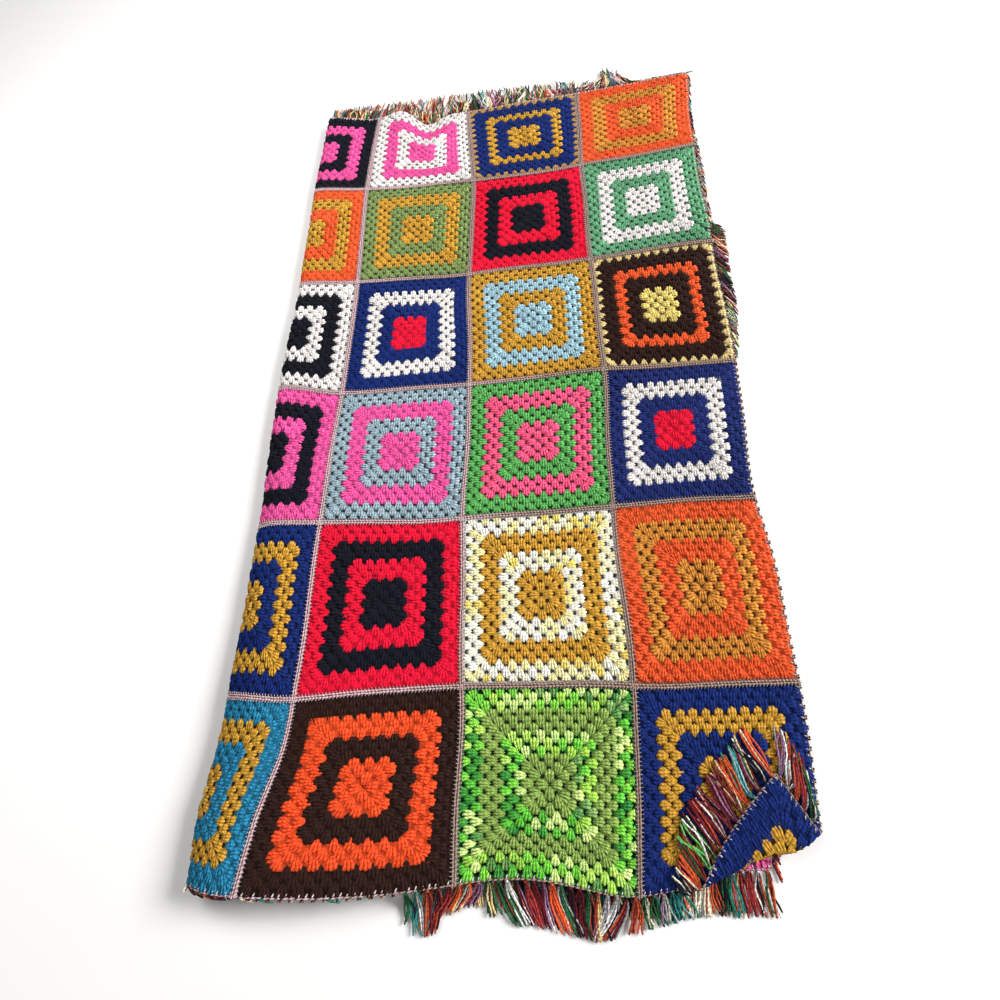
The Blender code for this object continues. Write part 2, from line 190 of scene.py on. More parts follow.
def laid(u, v):
    """Middle of the cloth at (u, v) as it lies before its corner is turned, an array of points."""
    seam = seam_values(v)
    half, arcs, before, after = fold_layout(seam)
    bend = sum(radius * turn for radius, turn in arcs)
    whole = before + bend + after
    run = (u - FOLD_SEAM) / HALF_ACROSS * whole
    crown_u = FOLD_SEAM + HALF_ACROSS * before / whole
    crown_z = CLOTH / 2 + 2 * half
    flat_u = np.minimum(u, FOLD_SEAM)
    beyond_x = seam["seam_3_x"] - whole / HALF_ACROSS
    names = ("edge", "seam_1", "seam_2", "seam_3")
    x = spline([*(seam[name + "_x"] for name in names), beyond_x], flat_u)
    y = spline([*(seam[name + "_y"] for name in names), seam["fold_y"]], flat_u)
    z = UPPER_Z + (crown_z - UPPER_Z) * smooth(RISE_FROM, crown_u, u)
    out, down = round_bend(arcs, run - before)
    past_bend = np.maximum(run - before - bend, 0)
    folded = u > FOLD_SEAM
    x = np.where(folded, seam["seam_3_x"] - np.minimum(run, before) - out + past_bend, x)
    z = np.where(run > before, crown_z - down, z)
    to_fold = smooth(0, 1, run / (before + bend / 2))
    from_fold = np.maximum(run - before - bend / 2, 0) / (after + bend / 2)
    folded_y = seam["seam_3_y"] + (seam["fold_y"] - seam["seam_3_y"]) * to_fold
    folded_y = folded_y + (seam["under_y"] - seam["fold_y"]) * from_fold
    y = np.where(folded, folded_y, y)
    points = np.stack([x, y, z], axis=1)
    for _, centre_u, centre_v, reach_u, reach_v, *shift in SWAYS:
        weight = np.exp(-((u - centre_u) / reach_u) ** 2 - ((v - centre_v) / reach_v) ** 2)
        points += weight[:, None] * np.array(shift)
    return points


def crease():
    """The crease's start, its direction, the direction from it to the corner, and its length."""
    near, side = laid(np.array([CREASE_U, 0.0]), np.array([0.0, CREASE_V]))[:, :2]
    length = np.linalg.norm(side - near)
    along = (side - near) / length
    return near, along, np.array([along[1], -along[0]]), length


CREASE = crease()
CORNER = laid(np.zeros(1), np.zeros(1))[0, :2]


def past_crease(points):
    """How far points lie beyond the crease, towards the corner."""
    near, _, outward, _ = CREASE
    return (points[:, :2] - near) @ outward


def turned(points):
    """Points of the upper layer with the corner turned back over it along the crease."""
    near, along, outward, length = CREASE
    bend = math.pi * CREASE_RADIUS
    foot = near + along * ((CORNER - near) @ along)
    back = (np.array(TURNED_TIP) - foot) / ((CORNER - near) @ outward - bend)
    past = past_crease(points)
    share = np.clip((points[:, :2] - near) @ along / length, 0, 1)
    angle = np.clip(past, 0, bend) / CREASE_RADIUS
    shift = np.where(past > 0, CREASE_RADIUS * np.sin(angle) - past, 0)
    bow = np.exp(-((share - BOW_MIDDLE) / BOW_WIDTH) ** 2 - (past / BOW_REACH) ** 2)
    shift += CREASE_BOW * bow
    result = points.copy()
    result[:, :2] += shift[:, None] * outward + np.maximum(past - bend, 0)[:, None] * back
    result[:, 2] += CREASE_RADIUS * (1 - np.cos(angle))
    return result


def wander(u, v):
    """How far hand work strays at (u, v): across, along and up."""
    shifts = np.zeros((3, len(u)))
    for across, along, phase, *strengths in WANDERS:
        for i, strength in enumerate(strengths):
            turns = across * u + along * v
            shifts[i] += strength * np.sin(2 * math.pi * turns + phase + WANDER_APART * i)
    return shifts


def unturned(u, v):
    """The middle of the uneven cloth at (u, v), with its corner still flat."""
    across, along, _ = wander(u, v)
    return laid(u + across, v + along)


def surface(u, v):
    """The middle of the uneven cloth at (u, v)."""
    points = unturned(u, v)
    corner = u < UPPER_SQUARES
    points[corner] = turned(points[corner])
    return points


def on_cloth(u, v, h):
    """Points at height h over the right side of the cloth."""
    shape = u.shape
    u, v, h = u.ravel(), v.ravel(), h.ravel()
    across = surface(u + STEP, v) - surface(u - STEP, v)
    along = surface(u, v + STEP) - surface(u, v - STEP)
    normal = np.cross(along, across)
    normal /= np.linalg.norm(normal, axis=1)[:, None]
    under = smooth(FOLD_MIDDLE, FOLD_MIDDLE + UNDER_FULL, u)
    height = h * (1 - UNDER_FLATTER * under) - UNDER_LOWER * under + wander(u, v)[2] * (1 - under)
    return (surface(u, v) + normal * height[:, None]).reshape(*shape, 3)


# ---------------------------------------------------------------- yarns and squares


def linear(code):
    """A hex sRGB colour as linear numbers."""
    values = [int(code[i:i + 2], 16) / 255 for i in (0, 2, 4)]
    return [x / 12.92 if x <= 0.04045 else ((x + 0.055) / 1.055) ** 2.4 for x in values]


YARNS = {
    "hot_pink": "ee58a0", "rose_pink": "fc628c", "red": "e81036", "orange": "ea5c2d",
    "bright_orange": "ef5124", "mustard": "cf9c38", "mustard_brown": "d4a03c", "olive_mustard": "d9903a",
    "yellow": "ecd67c", "pale_yellow": "e8cf8f", "tan": "b98f5a",
    "royal_blue": "10286c", "navy_blue": "1e2c6c", "navy_black": "0f101d", "turquoise": "2882a8",
    "light_blue": "a6cad6", "grey_blue": "9cb2bc", "white": "efe9e6", "dark_brown": "2e1710",
    "green": "63b35e", "mint": "6aa97e", "sage": "83985a", "olive_green": "92b058",
    # shades of the green mix, then of the yellow one
    "forest": "348a3c", "grass": "72d545", "lime": "b9ea5c", "pale_lime": "e6f6a0", "ivory": "fffdf2",
    "butter": "fbeea0", "corn": "f2d767",
    # the joining and its light loops
    "taupe_pink": "a38a7e", "shell_pink": "c9a9ad", "pale_lilac": "d8ccd0",
    # only in the fringe
    "maroon": "6e1b28", "rust": "b8502f", "brick": "a83a36", "teal": "2a7f78", "cream": "e6dcc0",
    "dark_green": "28603a", "mauve": "9a6f8e", "grey": "9b9b9d",
    # the painted shade deep in the holes between stitches
    "inside": "0d0a09",
}


def label(name):
    """A name of a size or a yarn, as a user reads it."""
    return name.replace("_", " ").capitalize()


class BlanketYarns(bpy.types.PropertyGroup):
    """Colours of the yarns."""

    __annotations__ = {
        name: FloatVectorProperty(
            name=label(name), description="Colour of this yarn", default=linear(code),
            size=3, min=0, max=1, subtype="COLOR",
        )
        for name, code in YARNS.items()
    }


MIXES = {
    "garden_mix": ("forest", "grass", "lime", "pale_lime", "grass", "lime", "forest", "pale_lime", "grass"),
    "lemon_mix": ("ivory", "butter", "ivory", "corn", "butter", "ivory"),
}
MIX_RUN = 2.3             # clusters to a shade
MIX_STRAY = 1.7           # shades that a cluster may be ahead of its place
MIX_BLEND = 0.40          # how far a post may be towards the next shade
# Each square's yarns from its middle outwards, three rounds of each unless a number says otherwise, and
# over again where they end before the square does. The first row is the near end's, and a row starts at
# the upper layer's free edge and ends at the lower layer's edge.
SQUARES = [row.split(", ") for row in (
    "mustard royal_blue, olive_green garden_mix, bright_orange dark_brown, mustard turquoise, "
    "white red, rose_pink grey_blue, white hot_pink",
    "olive_mustard orange, mustard_brown lemon_mix, navy_black red, mustard royal_blue, white green, "
    "yellow dark_brown, mustard navy_blue white navy_blue",
    "red navy_blue white navy_blue, rose_pink green, hot_pink grey_blue, navy_black hot_pink, "
    "mustard orange, white turquoise, red navy_black",
    "yellow dark_brown orange:2 dark_brown:3 pale_yellow:1, light_blue mustard, "
    "red royal_blue white royal_blue, navy_black white, sage mustard, hot_pink white, "
    "orange olive_green",
    "white mint, navy_black red, mustard sage, mustard orange, red royal_blue white royal_blue, "
    "navy_black grey_blue, rose_pink mint",
    "olive_mustard orange, mustard royal_blue mustard:2 royal_blue:3 tan:1, hot_pink white, "
    "hot_pink navy_black, white green, bright_orange dark_brown, mustard turquoise",
)]
# Thicker yarns, whose stitches nearly close the holes.
PLUMP = (
    "red", "royal_blue", "navy_blue", "navy_black", "dark_brown", "turquoise", "hot_pink", "orange",
    "bright_orange",
)
FRINGE_YARNS = (
    "maroon", "rust", "cream", "dark_green", "teal", "cream", "white", "navy_black", "dark_brown",
    "mauve", "pale_yellow", "brick", "rust", "maroon", "dark_green", "navy_black", "grey",
)
SIZES = {
    # name: default, least and most, in metres, and what it is
    "round_height": (0.0097, 0.005, 0.02, "From one round of a square to the next"),
    "cluster_width": (0.0132, 0.008, 0.02, "Across the three posts of a cluster at their widest"),
    "cluster_thickness": (0.0050, 0.002, 0.008, "Through a cluster at its thickest"),
    "join_pitch": (0.0052, 0.003, 0.01, "From one joining stitch to the next"),
    "loop_pitch": (0.0075, 0.003, 0.012, "From one loop of the outer edge to the next"),
    "strand_radius": (0.0015, 0.0005, 0.003, "Half the thickness of a fringe strand"),
}


class BlanketSizes(bpy.types.PropertyGroup):
    """Sizes of the stitches and the fringe."""

    __annotations__ = {
        name: FloatProperty(
            name=label(name), description=about, default=usual, min=least, max=most, unit="LENGTH"
        )
        for name, (usual, least, most, about) in SIZES.items()
    }


# ---------------------------------------------------------------- beads of yarn

MM = 0.001
ROUNDS = 12
UPRIGHT = 1e-6            # a path with less slant than this has no side of its own
TINY = 1e-9               # kept out of a division
CELL_MARGIN = 0.06        # of each bead's cell in the bake's layout


def stray(chance, size, *shape):
    """Small differences by chance, up to size either way."""
    return size * (2 * chance.random(shape) - 1)


def put_in_scene(name, mesh, material):
    """An object of a mesh, with its material."""
    mesh.materials.append(material)
    piece = bpy.data.objects.new(name, mesh)
    bpy.context.scene.collection.objects.link(piece)
    return piece


class Bead:
    """A closed bead of yarn, pointed at both ends: its directions round the yarn, its levels, its faces."""

    def __init__(self, rings, sides):
        angles = math.pi / 2 + 2 * math.pi / sides * np.arange(sides)
        ring = np.stack([np.cos(angles), np.sin(angles)], axis=1)
        self.level = np.concatenate([[0], np.repeat(np.arange(1, rings + 1), sides), [rings + 1]])
        self.round = np.concatenate([[[0, 0]], np.tile(ring, (rings, 1)), [[0, 0]]])
        top = rings * sides + 1
        corners, unrolled, sizes = [], [], []
        for n in range(rings + 1):
            for k in range(sides):
                here, there = (1 + n * sides + i % sides for i in (k, k + 1))
                below = [(there - sides, k + 1, n), (here - sides, k, n)] if n > 0 else [(0, k + 0.5, 0)]
                above = [(here, k, n + 1), (there, k + 1, n + 1)] if n < rings else [(top, k + 0.5, n + 1)]
                face = below + above
                corners += [corner for corner, _, _ in face]
                unrolled += [(across / sides, along / (rings + 1)) for _, across, along in face]
                sizes.append(len(face))
        self.corners = np.array(corners)
        self.unrolled = np.array(unrolled)
        self.starts = np.cumsum([0] + sizes[:-1])

    def shaped(self, along, aside, wide, thick, lift):
        """Points (aside, along, up) of the bead, from values at its levels: arrays (..., levels)."""
        at = self.level
        return np.stack([
            aside[..., at] + wide[..., at] * self.round[:, 0],
            along[..., at] + 0 * wide[..., at],
            lift[..., at] + thick[..., at] * self.round[:, 1],
        ], axis=-1)

    def swept(self, paths, radii):
        """Points of beads swept along paths (n, levels, 3), upright as far as they can be."""
        tangent = np.gradient(paths, axis=1)
        side = np.cross(tangent, (0, 0, 1))
        slant = np.linalg.norm(side, axis=2)[..., None]
        side /= np.maximum(slant, TINY)
        for n in range(1, side.shape[1]):
            # Where the path stands upright or turns back, the sides go on as they were.
            before = side[:, n - 1]
            side[:, n] = np.where(slant[:, n] < UPRIGHT, before, side[:, n])
            side[:, n] *= np.where((side[:, n] * before).sum(axis=1) < 0, -1, 1)[:, None]
        upward = np.cross(side, tangent)
        upward /= np.maximum(np.linalg.norm(upward, axis=2), TINY)[..., None]
        at = self.level
        return (paths[:, at]
                + side[:, at] * (radii[:, at] * self.round[:, 0])[..., None]
                + upward[:, at] * (radii[:, at] * self.round[:, 1])[..., None])


def joined(name, batches, material):
    """One mesh of batches of beads: (bead, points (n, k, 3), colours (n, k, 3), lengths (n,))."""
    places, shades, corners, starts, plies, cells = [], [], [], [], [], []
    total = sum(len(points) for _, points, _, _ in batches)
    side = math.ceil(math.sqrt(total))
    first_point = first_corner = first_cell = 0
    for bead, points, colours, lengths in batches:
        count, size = points.shape[:2]
        each = np.arange(count)
        places.append(points.reshape(-1, 3))
        shades.append(np.broadcast_to(colours, points.shape).reshape(-1, 3))
        corners.append((bead.corners[None] + each[:, None] * size + first_point).ravel())
        starts.append((bead.starts[None] + each[:, None] * len(bead.corners) + first_corner).ravel())
        ply = np.broadcast_to(bead.unrolled, (count, *bead.unrolled.shape)).copy()
        cell = np.stack([(each + first_cell) % side, (each + first_cell) // side], axis=1)[:, None]
        cells.append(((cell + CELL_MARGIN + (1 - 2 * CELL_MARGIN) * ply) / side).reshape(-1, 2))
        ply[..., 1] *= lengths[:, None]
        plies.append(ply.reshape(-1, 2))
        first_point += count * size
        first_corner += count * len(bead.corners)
        first_cell += count
    mesh = bpy.data.meshes.new(name)
    places = np.concatenate(places)
    places[:, 2] = np.maximum(places[:, 2], 0)   # what rests on the floor is pressed flat
    corners = np.concatenate(corners)
    starts = np.concatenate(starts)
    mesh.vertices.add(len(places))
    mesh.loops.add(len(corners))
    mesh.polygons.add(len(starts))
    mesh.vertices.foreach_set("co", places.astype(np.float32).ravel())
    mesh.loops.foreach_set("vertex_index", corners.astype(np.int32))
    mesh.polygons.foreach_set("loop_start", starts.astype(np.int32))
    mesh.polygons.foreach_set("use_smooth", np.ones(len(starts), bool))
    mesh.update(calc_edges=True)
    shade = mesh.attributes.new("yarn", "FLOAT_COLOR", "POINT")
    colours = np.concatenate(shades)
    colours = np.concatenate([np.clip(colours, 0, 1), np.ones((len(colours), 1))], axis=1)
    shade.data.foreach_set("color", colours.astype(np.float32).ravel())
    for layer, values in (("ply", plies), ("OFBake", cells)):
        mesh.uv_layers.new(name=layer).data.foreach_set(
            "uv", np.concatenate(values).astype(np.float32).ravel()
        )
    return put_in_scene(name, mesh, material)


# ---------------------------------------------------------------- materials


def plug(node, inputs):
    """Gives each input a value or a link: from a socket, or from a node's first output."""
    for key, value in inputs.items():
        if isinstance(value, bpy.types.Node):
            value = value.outputs[0]
        if isinstance(value, bpy.types.NodeSocket):
            node.id_data.links.new(value, node.inputs[key])
        else:
            node.inputs[key].default_value = value


def add_node(tree, kind, inputs=None, **settings):
    """A node with its settings and its inputs."""
    node = tree.nodes.new("ShaderNode" + kind)
    for key, value in settings.items():
        setattr(node, key, value)
    plug(node, inputs or {})
    return node


def new_material(name):
    """A material, its node tree and its Principled shader."""
    material = bpy.data.materials.new(name)
    material.use_nodes = True
    return material, material.node_tree, material.node_tree.nodes["Principled BSDF"]


def acrylic_yarn():
    """Plied acrylic yarn: soft, matt, with a light fuzz that catches the light at its edges."""
    if "Acrylic yarn" in bpy.data.materials:
        return bpy.data.materials["Acrylic yarn"]
    material, tree, shader = new_material("Acrylic yarn")
    place = add_node(tree, "TexCoord").outputs["Object"]
    # Loose fibres in tufts of about 2 mm.
    fuzz = add_node(tree, "TexNoise", {"Vector": place, "Scale": 520.0, "Detail": 3.0})
    # A post is worked in loops that wrap it about every 5 mm, slanting once round it. The wave's scale
    # of pi / 5 makes one band to a unit.
    ply = add_node(tree, "UVMap", uv_map="ply")
    turn = add_node(tree, "Mapping", {"Vector": ply, "Scale": (1.0, 1 / (5.0 * MM), 1.0)})
    twist = add_node(
        tree, "TexWave", {"Vector": turn, "Scale": math.pi / 5, "Distortion": 2.5},
        wave_type="BANDS", bands_direction="DIAGONAL", wave_profile="SIN",
    ).outputs["Fac"]
    # Mottling by chance over the fibres, partly their own tone and partly painted highlight and shade on
    # small loops; then painted shade in the twist's grooves and painted highlight on the loops' crowns.
    fibre_mottle = add_node(tree, "MapRange", {
        "Value": fuzz, "From Min": 0.3, "From Max": 0.7, "To Min": 0.58, "To Max": 1.40})
    twist_shading = add_node(tree, "MapRange", {"Value": twist, "To Min": 0.68, "To Max": 1.14})
    tone = add_node(tree, "Math", {0: fibre_mottle, 1: twist_shading}, operation="MULTIPLY")
    colour = add_node(tree, "Attribute", attribute_name="yarn")
    toned = add_node(tree, "VectorMath", {0: colour, "Scale": tone}, operation="SCALE")
    relief = add_node(tree, "Math", {0: twist, 1: fuzz}, operation="ADD")
    bump = add_node(tree, "Bump", {"Height": relief, "Strength": 0.6, "Distance": 0.6 * MM})
    plug(shader, {
        "Base Color": toned, "Normal": bump, "Roughness": 0.85, "Specular IOR Level": 0.15,
        "Sheen Weight": 0.02, "Sheen Roughness": 0.5,
    })
    return material


def shaded_yarn():
    """Yarn deep between the stitches: the same fibre in shadow, nearly black in the lattice's holes."""
    material, tree, shader = new_material("Shaded inner yarn")
    place = add_node(tree, "TexCoord").outputs["Object"]
    # Stitches about 4 mm apart.
    fibres = add_node(tree, "TexNoise", {"Vector": place, "Scale": 250.0, "Detail": 3.0})
    tone = add_node(tree, "MapRange", {"Value": fibres, "To Min": 0.5, "To Max": 1.4})
    # Counted in rounds from a square's middle, the holes lie where both counts are odd or both are even.
    weave = add_node(tree, "UVMap", uv_map="weave")
    rounds = add_node(tree, "VectorMath", {0: weave, "Scale": math.pi}, operation="SCALE")
    split = add_node(tree, "SeparateXYZ", {"Vector": rounds})
    waves = [add_node(tree, "Math", {0: split.outputs[axis]}, operation="COSINE") for axis in ("X", "Y")]
    lattice = add_node(tree, "Math", {0: waves[0], 1: waves[1]}, operation="MULTIPLY")
    # Painted shadow, nearly black, in the lattice's holes.
    hole = add_node(tree, "MapRange", {
        "Value": lattice, "From Min": 0.28, "From Max": 0.62, "To Min": 0.0, "To Max": 0.95})
    # The yarn colour's alpha says how open the holes are, and so how dark their painted shade is.
    colour = add_node(tree, "Attribute", attribute_name="yarn")
    painted_shading = add_node(tree, "Math", {0: hole, 1: colour.outputs["Alpha"]}, operation="MULTIPLY")
    light = add_node(tree, "Math", {0: 1.0, 1: painted_shading}, operation="SUBTRACT")
    shadow = add_node(tree, "Math", {0: tone, 1: light}, operation="MULTIPLY")
    toned = add_node(tree, "VectorMath", {0: colour, "Scale": shadow}, operation="SCALE")
    bump = add_node(tree, "Bump", {"Height": fibres, "Strength": 0.6, "Distance": 1.0 * MM})
    plug(shader, {"Base Color": toned, "Normal": bump, "Roughness": 0.95, "Specular IOR Level": 0.1})
    return material


def painted_floor():
    """A matt painted floor, plain and pale, with faint clouds a third of a metre across."""
    material, tree, shader = new_material("Matt painted floor")
    place = add_node(tree, "TexCoord").outputs["Object"]
    cloud = add_node(tree, "TexNoise", {"Vector": place, "Scale": 3.0, "Detail": 2.0})
    tones = {"A": (*linear("f3f2f0"), 1), "B": (*linear("f7f6f5"), 1)}
    tint = add_node(tree, "Mix", {"Factor": cloud, **tones}, data_type="RGBA")
    plug(shader, {"Base Color": tint.outputs["Result"], "Roughness": 0.9})
    return material


# ---------------------------------------------------------------- granny squares

# A treble's post, at five levels from its base to its top, for the middle post and the outer two.
# Shares of the round height along, and of half the cluster's width or thickness.
POST_ALONG = np.array([-0.98, -0.62, 0.10, 0.76, 1.00])
POST_ASIDE = np.array([0.20, 0.38, 0.58, 0.68, 0.58])
POST_WIDE = np.array([0.0, 0.34, 0.44, 0.50, 0.0])
POST_THICK = np.array([0.0, 0.70, 1.0, 0.95, 0.0])
POST_LIFT = np.array([0.0, 0.10, 0.22, 0.15, 0.05])
# Painted shade at a post's base, deep among the stitches, and a painted highlight towards its top, level by
# level.
POST_SHADING = np.array([0.72, 0.92, 1.0, 1.06, 1.12])
MIDDLE_POST_HIGHER = 0.12
OUTER_POSTS_SHORTER = 0.15
# Painted shade on the flanks of a post, where they lie deep between its neighbours.
FLANK_SHADE = 0.24        # the flanks of a post are deep between its neighbours
# The same for thicker yarns, and how much wider and less evenly they lie.
PLUMP_OUTER_SHORTER = 0.12
PLUMP_FLANK_SHADE = 0.12
PLUMP_WIDER = 0.10
PLUMP_UNEVEN = 1.5
PLAIN_LEVELS = [0, 2, 4]  # of a post where nobody sees it
LAST_ROUND_TOP = 0.45     # the joining covers the tops of the last round
CORNER_LEAN = math.radians(13)   # the clusters at a corner splay out into it
# How far posts and whole clusters stray from the even stitch, either way.
STRAY_ALONG = 0.4 * MM
STRAY_ASIDE = 0.25 * MM
STRAY_LIFT = 0.2 * MM
STRAY_GIRTH = 0.08
STRAY_POST_TONE = 0.06
STRAY_LEAN = math.radians(4)
STRAY_SIZE = 0.05
STRAY_CLUSTER_TONE = 0.07
SQUARE_SEEDS = 100        # between one column's seeds and the next's


def clusters():
    """Every cluster of a square: its round, its side, its place along the side, its number in its round."""
    rows = []
    for n in range(1, ROUNDS + 1):
        for side in range(4):
            for k in range(n):
                rows.append((n, side, 2 * k - (n - 1), side * n + k))
    return np.array(rows).T


def rounds_of(square):
    """The yarn of each of a square's rounds."""
    names = []
    for word in square.split():
        name, _, count = word.partition(":")
        names += [name] * int(count or 3)
    return names * (ROUNDS // len(names))


def cluster_colours(square, table, yarns, chance):
    """A colour for each post of each cluster. A mixed yarn changes shade along its length."""
    n, _, _, number = table
    names = rounds_of(square)
    colours = np.zeros((len(n), 3, 3))
    for i in range(len(n)):
        name = names[n[i] - 1]
        shades = MIXES.get(name, (name,))
        length = 2 * n[i] * (n[i] - 1) + number[i]
        pick = int(length / MIX_RUN + MIX_STRAY * chance.random()) % len(shades)
        colours[i] = yarns[shades[pick]]
        if len(shades) > 1:
            share = MIX_BLEND * chance.random((3, 1))
            colours[i] = colours[i] * (1 - share) + yarns[shades[(pick + 1) % len(shades)]] * share
    return colours


def outer_sides(column, row):
    """Which of a square's four sides lie on the blanket's edge."""
    on_edge = (column == SQUARES_ACROSS - 1, row == SQUARES_ALONG - 1, column == 0, row == 0)
    return [side for side in range(4) if on_edge[side]]


def turned_by(angle, x, y):
    """x and y, turned by an angle for each cluster."""
    cos, sin = (f(angle)[:, None, None] for f in (np.cos, np.sin))
    return x * cos - y * sin, x * sin + y * cos


def square_beads(bead, square, column, row, sizes, yarns, chance, plain):
    """The beads of one square: points, colours and lengths."""
    table = clusters()
    n, side, offset, _ = table
    count = len(n)
    height = sizes.round_height
    names = rounds_of(square)
    plump = np.array([names[k - 1] in PLUMP for k in n])[:, None, None]
    half_width = sizes.cluster_width / 2 * (1 + PLUMP_WIDER * plump)
    half_thick = sizes.cluster_thickness / 2
    levels = PLAIN_LEVELS if plain else slice(None)
    last = ((n == ROUNDS) & ~np.isin(side, outer_sides(column, row)))[:, None, None]
    post = np.array([-1, 0, 1])[None, :, None]
    posts = (count, 3, 1)
    shorter = np.where(plump, PLUMP_OUTER_SHORTER, OUTER_POSTS_SHORTER) * post ** 2
    wild = 1 + PLUMP_UNEVEN * plump
    along = POST_ALONG[levels] * height * (1 - shorter)
    along = np.where(last & (along > 0), along * LAST_ROUND_TOP, along) + stray(chance, STRAY_ALONG, *posts)
    aside = post * POST_ASIDE[levels] * half_width + stray(chance, STRAY_ASIDE, *posts)
    wide = POST_WIDE[levels] * half_width / bead.round[:, 0].max()
    wide = wide * (1 + stray(chance, STRAY_GIRTH, *posts))
    thick = POST_THICK[levels] * half_thick * (1 + stray(chance, STRAY_GIRTH, *posts))
    lift = (POST_LIFT[levels] + MIDDLE_POST_HIGHER * (1 - post ** 2)) * half_thick
    lift = lift + stray(chance, STRAY_LIFT, *posts) * wild
    local = bead.shaped(*np.broadcast_arrays(along, aside, wide, thick, lift))
    at_corner = (np.abs(offset) == n - 1) & (n > 1)
    lean = stray(chance, STRAY_LEAN, count) * wild[:, 0, 0] - CORNER_LEAN * np.sign(offset) * at_corner
    swell = 1 + stray(chance, STRAY_SIZE, count, 1, 1)
    foot = POST_ALONG[0] * height
    x, y = turned_by(lean, local[..., 0], local[..., 1] - foot)
    x = x * swell + (offset * height)[:, None, None]
    y = y * swell + (n * height + foot)[:, None, None]
    across, upward = turned_by(side * math.pi / 2, y, x)
    points = on_cloth(column + 0.5 + across / SQUARE, row + 0.5 + upward / SQUARE, local[..., 2] * swell)
    tones = cluster_colours(square, table, yarns, chance)
    tones = tones * (1 + stray(chance, STRAY_CLUSTER_TONE, count, 1, 1))
    # The posts' colours carry painted shade on their base and flanks, a painted highlight at the top, and
    # their own tone by chance.
    painted_flank_shade = np.where(plump, PLUMP_FLANK_SHADE, FLANK_SHADE) * np.abs(bead.round[:, 0])
    painted_shading = POST_SHADING[levels][bead.level] * (1 - painted_flank_shade) * (1 + stray(chance, STRAY_POST_TONE, *posts))
    colours = tones[:, :, None] * painted_shading[..., None]
    size = points.shape[2]
    return points.reshape(-1, size, 3), colours.reshape(-1, size, 3), np.full(count * 3, 2 * height)


def colour_table():
    """The yarns' colours as arrays."""
    yarns = bpy.context.scene.blanket_yarns
    return {name: np.array(getattr(yarns, name)) for name in YARNS}


class BLANKET_OT_squares(bpy.types.Operator):
    """Crochets the granny squares, one piece for each column"""

    bl_idname = "blanket.squares"
    bl_label = "Granny squares"

    def execute(self, context):
        yarns, sizes = colour_table(), context.scene.blanket_sizes
        # The turned corner shows its stitches from below too, and the lower layer hardly shows.
        full, both_ways, plain = Bead(3, 3), Bead(3, 4), Bead(1, 3)
        for column in range(SQUARES_ACROSS):
            batches = []
            for row in range(SQUARES_ALONG):
                hidden = column > FOLD_SEAM and (column, row) != (SQUARES_ACROSS - 1, 0)
                chance = np.random.default_rng(SQUARE_SEEDS * column + row)
                bead = both_ways if column == row == 0 else plain if hidden else full
                beads = square_beads(bead, SQUARES[row][column], column, row, sizes, yarns, chance, hidden)
                batches.append((bead, *beads))
            piece = joined(f"granny_squares_{column + 1}", batches, acrylic_yarn())
            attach(piece, "root")
        return {"FINISHED"}


# ---------------------------------------------------------------- joining and edging

# Beads at their levels, in millimetres: along, aside, half width, half thickness and lift. A joining
# stitch is a broad bead along the seam and a small loop into the square's edge.
CHAIN_BEAD = (
    (-4.6, -1.8, 1.8, 4.6),
    (0.9, 1.8, 1.8, 0.9),
    (0.0, 2.5, 2.5, 0.0),
    (0.0, 2.0, 2.0, 0.0),
    (1.2, 1.6, 1.6, 1.2),
)
LOOP_BEAD = (
    (-0.6, 0.4, 1.2),
    (2.0, 4.5, 6.6),
    (0.0, 1.8, 0.0),
    (0.0, 1.8, 0.0),
    (1.6, 2.6, 2.4),
)
# An edging stitch is a firm bead along the rim and a small light loop next to it, in over the cloth.
RIM_BEAD = (
    (-4.3, -1.8, 1.8, 4.3),
    (-0.3, 0.1, 0.7, 1.1),
    (0.0, 1.2, 1.2, 0.0),
    (0.0, 1.8, 1.8, 0.0),
    (0.3, 0.3, 0.3, 0.3),
)
RIM_LOOP_BEAD = (
    (-1.5, -0.6, 0.9, 1.6),
    (0.2, 2.4, 4.4, 5.4),
    (0.0, 2.0, 2.0, 0.0),
    (0.0, 1.8, 1.8, 0.0),
    (0.3, 0.3, 0.3, 0.3),
)
STITCH_LENGTH = 6 * MM    # of the yarn in one bead
STRAY_STITCH = 0.3 * MM
STRAY_JOIN_TONE = 0.07
STRAY_EDGE_TONE = 0.08
# Painted shade on the flanks of the joining beads.
JOIN_FLANK_SHADE = 0.25
LOOP_LIGHT = 0.9          # how far a joining loop is towards the light yarn
JOIN_APART = 0.25         # share of the pitch between the stitches of a seam's two sides
# The joining yarn turns pinker between these places across, with a wave in the line between the two.
PINKER_FROM, PINKER_TO = 1.4, 2.8
PINK_WAVE = 0.5
JOINING_SEED, EDGING_SEED, FRINGE_SEEDS = 7, 11, 31


def join_tones(u, v, yarns):
    """The joining yarn's colour, pinker in some stretches than in others."""
    share = smooth(PINKER_FROM, PINKER_TO, u + PINK_WAVE * np.sin(2.1 * u + 1.3 * v + 0.6))
    return yarns["taupe_pink"] * (1 - share[:, None]) + yarns["shell_pink"] * share[:, None]


def row_of(start, end, pitch, offset):
    """Places of stitches along a line, moved on by a share of their pitch, and the way that it runs."""
    start, end = np.array(start, float), np.array(end, float)
    squares = np.linalg.norm(end - start)
    count = int(squares * SQUARE / pitch)
    way = (end - start) / squares
    return start + way * ((np.arange(count) + offset) / count)[:, None] * squares, way


